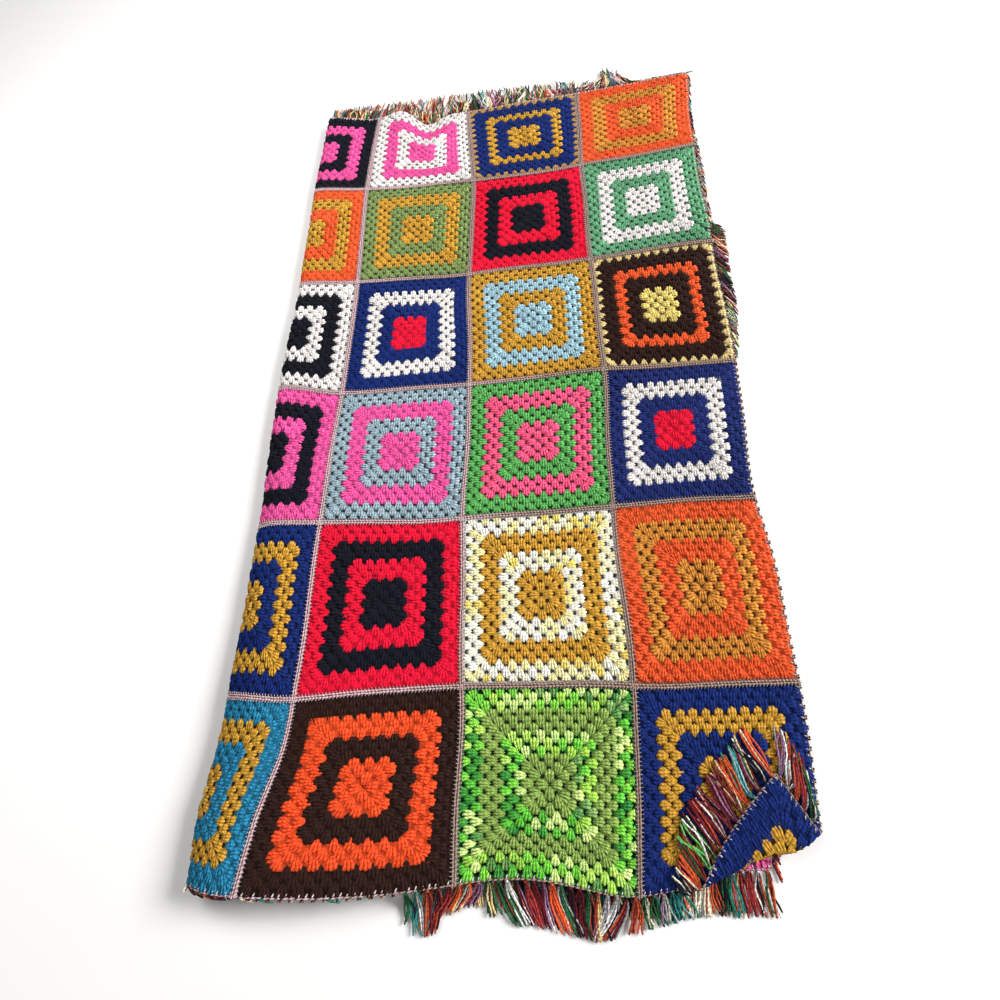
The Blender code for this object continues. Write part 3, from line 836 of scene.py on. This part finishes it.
def stitches(bead, shape, places, way, side, chance):
    """Points of a bead at each place of a row, on the given side of it."""
    if bead.level.max() < len(shape[0]) - 1:
        shape = [(row[0], max(row, key=abs), row[-1]) for row in shape]
    off = stray(chance, STRAY_STITCH, len(places), 1)
    along, aside, wide, thick, lift = (np.array(row) * MM + 0 * off for row in shape)
    local = bead.shaped(along + off, side * aside + off, wide, thick, lift)
    u = places[:, 0, None] + (way[0] * local[..., 1] - way[1] * local[..., 0]) / SQUARE
    v = places[:, 1, None] + (way[1] * local[..., 1] + way[0] * local[..., 0]) / SQUARE
    return on_cloth(u, v, local[..., 2])


def seam_beads(beads, start, end, sizes, yarns, chance):
    """The joining stitches on both sides of one straight seam."""
    batches = []
    for side in (-1, 1):
        places, way = row_of(start, end, sizes.join_pitch, JOIN_APART * (side > 0))
        count = len(places)
        tones = join_tones(*places.T, yarns) * (1 + stray(chance, STRAY_JOIN_TONE, count, 1))
        for bead, shape, light in zip(beads, (CHAIN_BEAD, LOOP_BEAD), (0, LOOP_LIGHT)):
            points = stitches(bead, shape, places, way, side, chance)
            tip = light * (bead.level > 0)[:, None]
            # Painted shade darkens each bead's flanks.
            painted_flank_shade = 1 - JOIN_FLANK_SHADE * np.abs(bead.round[:, :1])
            colours = (tones[:, None] * (1 - tip) + yarns["pale_lilac"] * tip) * painted_flank_shade
            batches.append((bead, points, colours, np.full(count, STITCH_LENGTH)))
    return batches


class BLANKET_OT_joining(bpy.types.Operator):
    """Joins the squares with two rows of stitches in a taupe pink yarn, one on each side of a seam"""

    bl_idname = "blanket.joining"
    bl_label = "Joining"

    def execute(self, context):
        yarns, sizes = colour_table(), context.scene.blanket_sizes
        loop = Bead(1, 3)
        full, plain = (Bead(2, 3), loop), (loop, loop)
        chance = np.random.default_rng(JOINING_SEED)
        turn = FOLD_SEAM + 1
        batches = []
        for u in range(1, SQUARES_ACROSS):
            beads = full if u < turn else plain
            batches += seam_beads(beads, (u, 0), (u, SQUARES_ALONG), sizes, yarns, chance)
        for v in range(1, SQUARES_ALONG):
            batches += seam_beads(full, (0, v), (turn, v), sizes, yarns, chance)
            batches += seam_beads(plain, (turn, v), (SQUARES_ACROSS, v), sizes, yarns, chance)
        piece = joined("joining", batches, acrylic_yarn())
        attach(piece, "root")
        return {"FINISHED"}


def edge_beads(bead, start, end, sizes, yarns, chance):
    """The stitches of one outer edge: a firm row on the rim, and one of small light loops inside it."""
    places, way = row_of(start, end, sizes.loop_pitch, 0.5)
    count = len(places)
    batches = []
    for shape, tones in ((RIM_BEAD, join_tones(*places.T, yarns)), (RIM_LOOP_BEAD, yarns["pale_lilac"])):
        points = stitches(bead, shape, places, way, -1, chance)
        tones = tones * (1 + stray(chance, STRAY_EDGE_TONE, count, 1))
        batches.append((bead, points, tones[:, None], np.full(count, STITCH_LENGTH)))
    return batches


# From one corner of the blanket to another, with the cloth on the right.
EDGES = (
    # start                            end
    ((SQUARES_ACROSS, 0),              (0, 0)),
    ((0, SQUARES_ALONG),               (SQUARES_ACROSS, SQUARES_ALONG)),
    ((0, 0),                           (0, SQUARES_ALONG)),
    ((SQUARES_ACROSS, SQUARES_ALONG),  (SQUARES_ACROSS, 0)),
)


class BLANKET_OT_edging(bpy.types.Operator):
    """Works a row of stitches and small loops round the whole blanket"""

    bl_idname = "blanket.edging"
    bl_label = "Edging"

    def execute(self, context):
        yarns, sizes = colour_table(), context.scene.blanket_sizes
        bead = Bead(2, 4)
        chance = np.random.default_rng(EDGING_SEED)
        batches = []
        for start, end in EDGES:
            batches += edge_beads(bead, start, end, sizes, yarns, chance)
        piece = joined("edging", batches, acrylic_yarn())
        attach(piece, "root")
        return {"FINISHED"}


# ---------------------------------------------------------------- fringe

BUNCHES_TO_SQUARE = 20
# A tucked strand heads out, turns round and lies this far in between the layers.
TUCKED_HEADING = 0.001
TUCK_RADIUS = 0.00205
TUCKED_IN = 0.046
FALL = 0.022              # how far out a strand has come down on what lies below
# Heights at which strands lie.
REST_ON_FLOOR = 0.0020
REST_ON_LOWER = 0.0056
REST_ON_UPPER = 0.0185
WISP_REACH = 0.006        # a wisp strays out of a tucked bunch and runs along the edge
WISP_LEAN = -3.0
BUNCH_SPREAD = 0.0130     # width of a bunch past its knot
SHOWN_CORNER = 6.0        # the lower layer's bunches from this station on can be seen
# How the fringe lies along each edge, at stations in squares: `reach` is how far out of the edge it
# goes, and `lean` how far along the edge for that, above 0 towards greater u or v.
NEAR_LIE = (
    # station reach lean
    (0.00, 0.060, -0.05),
    (0.60, 0.058, 0.00),
    (0.70, 0.034, -0.10),
    (0.80, 0.036, -0.15),
    (1.00, 0.040, -0.25),
    (1.08, 0.052, 0.45),
    (1.17, 0.055, 0.30),
    (1.22, 0.056, -0.10),
    (1.50, 0.057, -0.35),
    (1.80, 0.056, -0.50),
    (1.86, 0.030, 0.30),
    (1.98, 0.036, 0.50),
    (2.08, 0.058, 0.25),
    (2.16, 0.058, -0.10),
    (2.25, 0.034, -0.25),
    (4.20, 0.045, 0.10),
    (7.00, 0.052, 0.15),
)
FAR_LIE = (
    (0.00, 0.010, 0.10),
    (0.40, 0.014, 0.60),
    (0.52, 0.060, 0.55),
    (0.68, 0.092, 0.05),
    (0.84, 0.060, -0.50),
    (0.95, 0.036, -0.10),
    (1.20, 0.046, 0.05),
    (1.70, 0.056, 0.05),
    (2.60, 0.066, 0.05),
    (5.90, 0.062, 0.00),
    (6.20, 0.036, 0.00),
    (6.50, 0.026, 0.00),
    (6.75, 0.012, 0.00),
    (7.00, 0.008, 0.00),
)
UPPER_LIE = (
    (0.00, 0.040, -0.70),
    (0.33, 0.037, -1.00),
    (3.05, 0.008, -2.40),
    (3.30, 0.014, -1.70),
    (3.60, 0.027, -1.00),
    (4.10, 0.032, -0.80),
    (4.40, 0.016, -0.60),
)
LOWER_LIE = (
    (0.00, 0.012, -0.50),
    (3.10, 0.008, -1.20),
    (3.50, 0.018, -1.10),
    (4.40, 0.026, -0.70),
)
# Yarns of bunches from the start of the near edge, main and second, then those of the upper side's start
# and of the lower layer's corner. The other bunches are mixed by chance.
NEAR_BUNCHES = (
    "orange cream, navy_black white, maroon mauve, teal light_blue, rust orange, maroon dark_brown,"
    "maroon mauve, maroon rust, maroon white, maroon white, dark_green navy_black, green dark_brown,"
    "maroon rust, rust orange, navy_black cream, teal light_blue, teal navy_black, mauve grey,"
    "dark_green navy_black, dark_green cream, rust orange, navy_black grey, grey white, grey white,"
    "brick yellow, dark_green brick, maroon dark_brown, maroon navy_black, dark_green grey, orange rust,"
    "maroon mauve, maroon brick, brick maroon, navy_black mauve, white dark_green, dark_green navy_black,"
    "dark_green pale_yellow, mauve navy_black, orange cream, rust orange, maroon brick,"
    "maroon dark_brown, rust maroon, teal white, dark_green navy_black, hot_pink navy_black"
)
TIP_BUNCHES = (
    "mauve grey, grey white, rust orange, brick maroon, dark_green navy_black, dark_green cream,"
    "cream grey"
)
CORNER_BUNCHES = (
    "cream grey, rust dark_brown, dark_green navy_black, teal dark_green, maroon rust, brick maroon,"
    "white rust, rust dark_brown"
)
TUCKED_NEAR = ((2.25, 2.95, 0.05), (2.95, 4.20, 0.30))   # from, to, share of wisps
TUCKED_UPPER = ((0.32, 3.18, 0.00), (4.22, 6.00, 0.45))
TUCKED_LOWER = ((0.45, 3.10, 0.00), (4.25, 6.00, 0.45))
FRINGES = (
    # name                 fixed  at              outward  lie        curl  tucked
    ("fringe_near",        "v",   0,              (0, -1), NEAR_LIE,  2.0,  TUCKED_NEAR),
    ("fringe_far",         "v",   SQUARES_ALONG,  (0, 1),  FAR_LIE,   4.5,  ()),
    ("fringe_upper_side",  "u",   0,              (-1, 0), UPPER_LIE, 4.0,  TUCKED_UPPER),
    ("fringe_lower_side",  "u",   SQUARES_ACROSS, (1, 0),  LOWER_LIE, 2.2,  TUCKED_LOWER),
)
STRAND_STEPS = np.array([0, 0.06, 0.22, 0.42, 0.62, 0.82, 0.975, 1.0])
STRAND_WIDTHS = np.array([0, 0.85, 1.0, 1.05, 1.0, 1.0, 0.85, 0])
# Painted shade along each strand, darkest at its root under the cloth's edge.
STRAND_SHADING = np.array([0.35, 0.45, 0.75, 1.0, 1.05, 1.05, 1.0, 0.95])   # darkest under the cloth's edge
# Shares along a strand: how it fans out from its knot, leans along the edge, curves with its bunch, and
# sags at its end.
STRAND_FAN = 0.3 + 0.7 * smooth(0, 0.45, STRAND_STEPS)
STRAND_LEAN = 0.55 + 0.45 * STRAND_STEPS
STRAND_CURVE = np.sin(math.pi * (0.2 + 1.3 * STRAND_STEPS)) - math.sin(0.2 * math.pi)
STRAND_SAG = 0.6 * smooth(0.45, 1, STRAND_STEPS)
STRAND_ROOT = 0.5 * MM    # how far out of the edge a strand starts
SHORTEST, LONGEST = 0.88, 1.04   # strands, as shares of the bunch's reach
PILE = 3.4 * MM           # how high the strands of a bunch lie on each other
STRAY_STRAND = 1.6 * MM   # of a strand's end, and of its waves, for each unit of curl
STRAY_WAVE = 0.9 * MM
SWING = 2.6 * MM          # of the bunches' slow swing along an edge, and of each bunch by chance
STRAY_SWING = 2.2 * MM
STRAND_TONE = (0.8, 1.15)
KNOT_RADII = np.array([0, 1.9, 1.9, 0]) * MM
KNOT_LENGTH = 6 * MM
KNOT_OUT = 2.2 * MM
KNOT_TONE = 0.9
FRAME_REACH = 0.03        # in squares, for the edge's directions
STRANDS = 7               # to a bunch
ODD_STRANDS = 0.2         # share of strands of a third yarn
SECOND_STRANDS = (1, 4)   # of a bunch's second yarn
HIDDEN_STRANDS = 3        # to a bunch under the upper layer


def edge_frame(u, v, outward):
    """A place on an edge, and the ways out, to greater u or v, and in between the layers."""
    out_u, out_v = outward
    us = u + FRAME_REACH * np.array([0, -out_u, -out_v, out_v])
    vs = v + FRAME_REACH * np.array([0, -out_v, out_u, -out_u])
    here, inner, after, before = unturned(us, vs)
    out = (here - inner) / np.linalg.norm(here - inner)
    run = (after - before) / np.linalg.norm(after - before)
    inward = np.cross(out, run)
    return here, out, run * (out_u - out_v), inward / np.linalg.norm(inward)


def tucked_strand(place, slot):
    """A strand that turns back in between the layers."""
    here, out, along, inward = place
    angles = np.linspace(0, math.pi, len(STRAND_STEPS) - 1)
    root = here + along * slot * 0.5
    bend = out * (TUCKED_HEADING + TUCK_RADIUS * np.sin(angles))[:, None]
    bend = bend + inward * (TUCK_RADIUS * (1 - np.cos(angles)))[:, None]
    end = inward * 2 * TUCK_RADIUS - out * TUCKED_IN
    return np.concatenate([root + bend, [root + end]])


def loose_strand(place, reach, lean, rest, on_flap, slot, swing, curl, chance):
    """A strand that lies out on what is below it, in a soft curve beside the others of its bunch."""
    here, out, along, _ = place
    far = reach * chance.uniform(SHORTEST, LONGEST) * STRAND_STEPS
    wave = np.sin(7 * STRAND_STEPS + curl * chance.random()) * STRAND_STEPS ** 0.5
    aside = lean * far * STRAND_LEAN + slot * STRAND_FAN + swing * STRAND_CURVE
    aside += curl * (STRAY_STRAND * chance.normal() * STRAND_STEPS + STRAY_WAVE * chance.normal() * wave)
    points = here + out * (STRAND_ROOT + far)[:, None] + along * aside[:, None]
    if on_flap:
        points = turned(points)
    drop = smooth(0, FALL, far)
    pile = chance.uniform(0, PILE) * (1 - 0.5 * STRAND_STEPS)
    sag = (rest - REST_ON_FLOOR) * STRAND_SAG * (not on_flap)
    points[:, 2] = points[:, 2] * (1 - drop) + (rest + pile - sag) * drop
    return points


def bunch_yarns(bunches, k, chance):
    """The main and the second yarn of a bunch: as listed, or by chance."""
    if k in bunches:
        return bunches[k].split()
    return chance.choice(FRINGE_YARNS, 2, replace=False)


def known_bunches():
    """For each edge, the yarns of its listed bunches by number."""
    first, tip, corner = (text.split(",") for text in (NEAR_BUNCHES, TIP_BUNCHES, CORNER_BUNCHES))
    near = dict(enumerate(first))
    near.update(enumerate(corner, SQUARES_ACROSS * BUNCHES_TO_SQUARE - len(corner)))
    return {"fringe_near": near, "fringe_upper_side": dict(enumerate(tip))}


def fringe_batches(fixed, at, outward, lie, curl, tucked, bunches, sizes, yarns, chance):
    """The bunches of one edge: strands and their knots."""
    strand, knot = Bead(len(STRAND_STEPS) - 2, 4), Bead(2, 4)
    squares = SQUARES_ACROSS if fixed == "v" else SQUARES_ALONG
    stations, reaches, leans = np.array(lie).T
    paths, tones, knots, knot_tones = [], [], [], []
    for k in range(squares * BUNCHES_TO_SQUARE):
        station = (k + 0.5) / BUNCHES_TO_SQUARE
        u, v = (station, float(at)) if fixed == "v" else (float(at), station)
        reach, lean = (np.interp(station, stations, values) for values in (reaches, leans))
        place = edge_frame(u, v, outward)
        upper = u < FOLD_MIDDLE
        past = past_crease(place[0][None])[0]
        if fixed == "u" and upper and 0 < past < math.pi * CREASE_RADIUS:
            continue
        on_flap = bool(upper and past > 0)
        rest = REST_ON_UPPER if on_flap else REST_ON_LOWER if upper else REST_ON_FLOOR
        main, second = bunch_yarns(bunches, k, chance)
        swing = SWING * math.sin(9 * station) + STRAY_SWING * chance.normal()
        wisps = [share for start, end, share in tucked if start < station < end]
        count = 2 if wisps else STRANDS if upper or station > SHOWN_CORNER else HIDDEN_STRANDS
        for i in range(count):
            slot = ((i + 0.5) / count - 0.5) * BUNCH_SPREAD
            if not wisps:
                path = loose_strand(place, reach, lean, rest, on_flap, slot, swing, curl, chance)
            elif chance.random() < wisps[0]:
                path = loose_strand(place, WISP_REACH, WISP_LEAN, rest, on_flap, slot, 0, 1, chance)
            else:
                path = tucked_strand(place, slot)
            paths.append(path)
            name = second if i in SECOND_STRANDS else main
            if chance.random() < ODD_STRANDS:
                name = chance.choice(FRINGE_YARNS)
            tones.append(yarns[name] * chance.uniform(*STRAND_TONE))
        if wisps:
            continue
        here, out, along, _ = place
        across = here + np.linspace(-0.5, 0.5, 4)[:, None] * KNOT_LENGTH * along + out * KNOT_OUT
        knots.append(turned(across) if on_flap else across)
        knot_tones.append(yarns[main] * KNOT_TONE)
    paths, knots = np.array(paths), np.array(knots)
    points = strand.swept(paths, np.broadcast_to(STRAND_WIDTHS * sizes.strand_radius, paths.shape[:2]))
    lengths = np.linalg.norm(np.diff(paths, axis=1), axis=2).sum(axis=1)
    knot_points = knot.swept(knots, np.broadcast_to(KNOT_RADII, knots.shape[:2]))
    tones, knot_tones = np.array(tones)[:, None], np.array(knot_tones)[:, None]
    return [
        (strand, points, tones * STRAND_SHADING[strand.level][:, None], lengths),
        (knot, knot_points, knot_tones, np.full(len(knots), KNOT_LENGTH)),
    ]


class BLANKET_OT_fringe(bpy.types.Operator):
    """Knots a fringe of leftover yarns along all four edges"""

    bl_idname = "blanket.fringe"
    bl_label = "Fringe"

    def execute(self, context):
        yarns, sizes, known = colour_table(), context.scene.blanket_sizes, known_bunches()
        for i, (node, fixed, at, outward, lie, curl, tucked) in enumerate(FRINGES):
            chance = np.random.default_rng(FRINGE_SEEDS + i)
            bunches = known.get(node, {})
            batches = fringe_batches(fixed, at, outward, lie, curl, tucked, bunches, sizes, yarns, chance)
            piece = joined(node.replace("fringe", "strands"), batches, acrylic_yarn())
            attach(piece, "root")
            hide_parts(node)
        return {"FINISHED"}


# ---------------------------------------------------------------- the web of the cloth, dark with painted shade

# Lines of the web in one square, in rounds from its middle: a change of yarn lies on a line.
WEB_LINES = (-11.4, -9.8, -8.3, -6.8, -5.3, -3.8, -1.9, 0.0, 1.9, 3.8, 5.3, 6.8, 8.3, 9.8, 11.4)
FOLD_CELLS = 48           # to a square round the fold
FOLD_FROM = 3.10
FOLD_TO = 3.85
WEB_THICKNESS = 0.0006
ROUND_START = 0.8         # in rounds from the middle: where the first round's web gives way to the next
# Painted shade between the stitches: the yarn's own colour keeps this share, the hole shade makes up the
# rest.
WEB_SHADE = 0.62          # of the yarn's own colour, between the stitches
# How dark the painted shade is in the holes between thicker yarns.
PLUMP_HOLE_SHADE = 0.25         # how dark the holes are between thicker yarns


def turn_corner(sheet):
    """Cuts the upper layer's faces along each facet of the crease, then turns its corner back."""
    near, _, outward, _ = CREASE
    mark = sheet.faces.layers.int["upper"]
    for past in np.linspace(0, math.pi * CREASE_RADIUS, CREASE_FACETS + 1):
        start = near + outward * past
        faces = [face for face in sheet.faces if face[mark]]
        parts = {part for face in faces for part in (face, *face.edges, *face.verts)}
        bmesh.ops.bisect_plane(sheet, geom=list(parts), plane_co=(*start, 0), plane_no=(*outward, 0))
    points = [point for point in sheet.verts if any(face[mark] for face in point.link_faces)]
    places = turned(np.array([point.co for point in points]).reshape(-1, 3))
    for point, place in zip(points, places):
        point.co = place


def web_lines(height):
    """Where the web's lines lie across and along the blanket, in squares."""
    lines = np.array([-SQUARE / 2, *(np.array(WEB_LINES) * height)]) / SQUARE + 0.5
    across = (np.arange(SQUARES_ACROSS)[:, None] + lines).ravel()
    across = across[(across < FOLD_FROM) | (across > FOLD_TO)]
    fold = np.arange(FOLD_FROM, FOLD_TO, 1 / FOLD_CELLS)
    across = np.sort(np.concatenate([across, fold, [SQUARES_ACROSS]]))
    return across, np.append((np.arange(SQUARES_ALONG)[:, None] + lines).ravel(), SQUARES_ALONG)


def web_mesh(yarns, height):
    """One face between each two lines, in the colour of the stitches that lie on it darkened with painted
    shade, as a mesh.
    """
    across, upward = web_lines(height)
    sheet = bmesh.new()
    mark = sheet.faces.layers.int.new("upper")
    weave = sheet.loops.layers.uv.new("weave")
    shade = sheet.loops.layers.float_color.new("yarn")
    grid = [[sheet.verts.new(place) for place in unturned(across, np.full(len(across), v))] for v in upward]
    for j in range(len(upward) - 1):
        for i in range(len(across) - 1):
            face = sheet.faces.new((grid[j][i], grid[j + 1][i], grid[j + 1][i + 1], grid[j][i + 1]))
            face.smooth = True
            face[mark] = across[i + 1] <= UPPER_SQUARES
            middle_u, middle_v = (across[i] + across[i + 1]) / 2, (upward[j] + upward[j + 1]) / 2
            column, row = int(middle_u), int(middle_v)
            centre_u, centre_v = column + 0.5, row + 0.5
            reach = max(abs(middle_u - centre_u), abs(middle_v - centre_v)) * SQUARE / height
            name = rounds_of(SQUARES[row][column])[min(int(reach - ROUND_START), ROUNDS - 1)]
            # Painted shade: the stitches' colour is darkened towards the hole shade.
            tone = yarns[MIXES.get(name, (name,))[0]] * WEB_SHADE + yarns["inside"] * (1 - WEB_SHADE)
            for corner, (du, dv) in zip(face.loops, ((i, j), (i, j + 1), (i + 1, j + 1), (i + 1, j))):
                corner[shade] = (*tone, PLUMP_HOLE_SHADE if name in PLUMP else 1)
                place = np.array([across[du] - centre_u, upward[dv] - centre_v])
                corner[weave].uv = place * SQUARE / height
    turn_corner(sheet)
    mesh = bpy.data.meshes.new("web")
    sheet.to_mesh(mesh)
    sheet.free()
    return mesh


class BLANKET_OT_web(bpy.types.Operator):
    """Lays the thin web of yarn that shows between the stitches and carries them, dark with painted shade
    """

    bl_idname = "blanket.web"
    bl_label = "Web"

    def execute(self, context):
        mesh = web_mesh(colour_table(), context.scene.blanket_sizes.round_height)
        web = put_in_scene("web", mesh, shaded_yarn())
        wall = web.modifiers.new("thickness", "SOLIDIFY")
        wall.thickness = WEB_THICKNESS
        wall.offset = 0
        bpy.ops.object.select_all(action="DESELECT")
        context.view_layer.objects.active = web
        bpy.ops.object.modifier_apply(modifier="thickness")
        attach(web, "root")
        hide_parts("blanket")
        return {"FINISHED"}


# ---------------------------------------------------------------- stage

CAMERA_PLACE = (0.1033, -0.6105, 0.908)
CAMERA_PITCH = math.radians(66.49)   # below the horizon
CAMERA_YAW = math.radians(17.63)
CAMERA_ROLL = math.radians(-20.16)
LENS = 20.0
SENSOR = 36
NEAREST_SEEN = 0.02
LAMPS = (
    # place              towards              size  power
    ((6.6, 1.5, 4.2),    (0.0, 0.0, 0.0),     3.0,  980),
    ((-0.75, 0.65, 1.7), (-0.35, 0.55, 0.0),  1.0,  22),
    ((0.4, -2.2, 2.4),   (0.0, 0.0, 0.0),     2.4,  3),
)
ROOM_LIGHT = 0.22
FLOOR_SIZE = 14
FLOOR_DROP = 0.0006       # below the stitches that rest on it, so that no two faces meet


def camera_turn():
    """The camera's right, up and back directions as a rotation."""
    forward = Vector((
        -math.sin(CAMERA_YAW) * math.cos(CAMERA_PITCH),
        math.cos(CAMERA_YAW) * math.cos(CAMERA_PITCH),
        -math.sin(CAMERA_PITCH),
    ))
    level = Vector((math.cos(CAMERA_YAW), math.sin(CAMERA_YAW), 0))
    upright = level.cross(forward)
    right = math.cos(CAMERA_ROLL) * level + math.sin(CAMERA_ROLL) * upright
    up = -math.sin(CAMERA_ROLL) * level + math.cos(CAMERA_ROLL) * upright
    return Matrix((right, up, -forward)).transposed()


class BLANKET_OT_stage(bpy.types.Operator):
    """Sets out the plain floor, the soft lights and the camera"""

    bl_idname = "blanket.stage"
    bl_label = "Stage"

    def execute(self, context):
        bpy.ops.object.select_all(action="DESELECT")
        bpy.ops.mesh.primitive_plane_add(size=FLOOR_SIZE, location=(0, 0, -FLOOR_DROP))
        floor = context.object
        floor.name = "floor"
        floor.data.materials.append(painted_floor())
        for place, towards, size, power in LAMPS:
            bpy.ops.object.light_add(type="AREA", location=place)
            lamp = context.object
            lamp.data.size = size
            lamp.data.energy = power
            lamp.rotation_euler = (Vector(towards) - Vector(place)).to_track_quat("-Z", "Y").to_euler()
        world = bpy.data.worlds.new("soft room")
        world.use_nodes = True
        plug(world.node_tree.nodes["Background"], {"Color": (*linear("fbfaf8"), 1), "Strength": ROOM_LIGHT})
        context.scene.world = world
        context.scene.view_settings.view_transform = "Standard"
        bpy.ops.object.camera_add(location=CAMERA_PLACE)
        camera = context.object
        camera.rotation_euler = camera_turn().to_euler()
        camera.data.lens = LENS
        camera.data.sensor_width = SENSOR
        camera.data.clip_start = NEAREST_SEEN
        context.scene.camera = camera
        return {"FINISHED"}


class BLANKET_PT_panel(bpy.types.Panel):
    """The blanket's parts, sizes and colours"""

    bl_label = "Granny Square Blanket"
    bl_space_type = "VIEW_3D"
    bl_region_type = "UI"
    bl_category = "Blanket"

    def draw(self, context):
        for operator in OPERATORS:
            self.layout.operator(operator.bl_idname)
        for group in (context.scene.blanket_sizes, context.scene.blanket_yarns):
            box = self.layout.box()
            for name in group.__annotations__:
                box.prop(group, name)


OPERATORS = (
    BLANKET_OT_stage, BLANKET_OT_squares, BLANKET_OT_joining, BLANKET_OT_edging, BLANKET_OT_fringe,
    BLANKET_OT_web,
)
CLASSES = (BlanketYarns, BlanketSizes, *OPERATORS, BLANKET_PT_panel)


def register():
    for item in CLASSES:
        bpy.utils.register_class(item)
    bpy.types.Scene.blanket_yarns = PointerProperty(type=BlanketYarns)
    bpy.types.Scene.blanket_sizes = PointerProperty(type=BlanketSizes)


def unregister():
    del bpy.types.Scene.blanket_sizes
    del bpy.types.Scene.blanket_yarns
    for item in reversed(CLASSES):
        bpy.utils.unregister_class(item)


def main():
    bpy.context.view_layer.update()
    register()
    bpy.ops.blanket.stage()
    bpy.ops.blanket.squares()
    bpy.ops.blanket.joining()
    bpy.ops.blanket.edging()
    bpy.ops.blanket.fringe()
    bpy.ops.blanket.web()
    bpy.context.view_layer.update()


if __name__ == "__main__":
    main()
